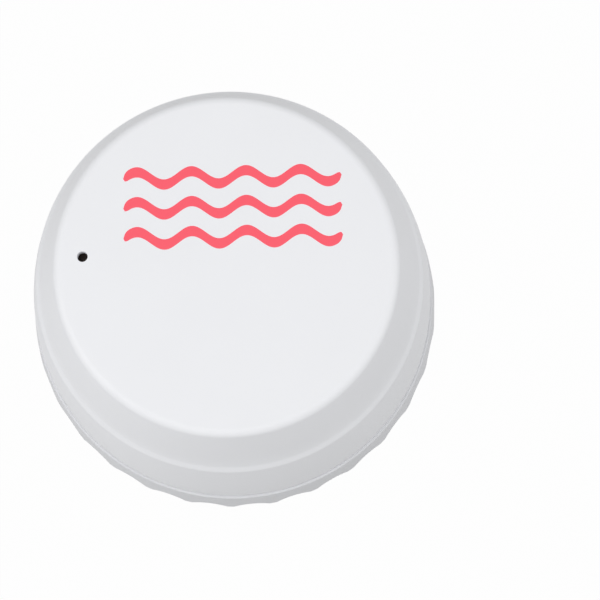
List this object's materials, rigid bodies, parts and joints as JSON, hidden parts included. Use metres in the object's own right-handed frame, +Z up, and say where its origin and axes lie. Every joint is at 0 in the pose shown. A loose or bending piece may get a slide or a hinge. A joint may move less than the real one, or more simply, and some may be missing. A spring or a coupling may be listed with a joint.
{
  "type": "water leak sensor",
  "caption": "Round stepped white leak sensor: a housing with a reset hole twist-locks on a fluted base that stands on metal probes, over a board and battery cells.",
  "frame": {"origin": "on the floor that the probes stand on, under the middle of the housing", "axes": "+Z up along the twist axis, -X towards the reset hole, -Y the side nearest the viewer"},
  "size_m": [0.0718, 0.072, 0.041],
  "materials": {
    "housing_abs": "satin moulded ABS",
    "base_abs": "satin moulded ABS",
    "seal_rubber": "moulded",
    "probe_steel": "turned stainless steel",
    "pillar_brass": "turned",
    "screw_steel": "zinc plated",
    "board_epoxy": "solder mask over glass epoxy",
    "tray_plastic": "moulded",
    "cell_sleeve": "printed sleeve",
    "contact_nickel": "nickel plated",
    "lead_red": "extruded sleeve",
    "lead_black": "extruded sleeve",
    "switch_plastic": "moulded",
    "led_lens": "clear cast resin",
    "module_epoxy": "solder mask over glass epoxy",
    "shield_tin": "tinned",
    "chip_epoxy": "moulded epoxy",
    "capacitor_can": "drawn can"
  },
  "bodies": {
    "base": {"base_cover": "base_abs", "seal_ring": "seal_rubber", "probe_screws": "probe_steel", "probe_seals": "seal_rubber", "board_pillars": "pillar_brass", "board_screws": "screw_steel", "circuit_board": "board_epoxy", "battery_tray": "tray_plastic", "tray_screws": "screw_steel", "front_cell": "cell_sleeve", "rear_cell": "cell_sleeve", "plus_contact": "contact_nickel", "minus_contact": "contact_nickel", "bridge_contact": "contact_nickel", "minus_spring": "contact_nickel", "bridge_spring": "contact_nickel", "plus_lead": "lead_red", "minus_lead": "lead_black", "switch_case": "switch_plastic", "switch_cover": "screw_steel", "status_led": "led_lens", "buzzer_case": "switch_plastic", "buzzer_disc": "pillar_brass", "wireless_module": "module_epoxy", "module_shield": "shield_tin", "controller_chip": "chip_epoxy", "power_inductor": "chip_epoxy", "storage_capacitor": "capacitor_can"},
    "housing": {"upper_housing": "housing_abs"},
    "plunger": {"reset_plunger": "switch_plastic"}
  },
  "joints": [
    {"name": "housing_twist", "type": "hinge", "parent": "base", "child": "housing", "pos_m": [0, 0, 0], "axis": [0, 0, 1], "range_deg": [0, 20]},
    {"name": "reset_press", "type": "slide", "parent": "base", "child": "plunger", "axis": [0, 0, -1], "range_m": [0, 0.0003], "stiffness_N_per_m": 800}
  ]
}
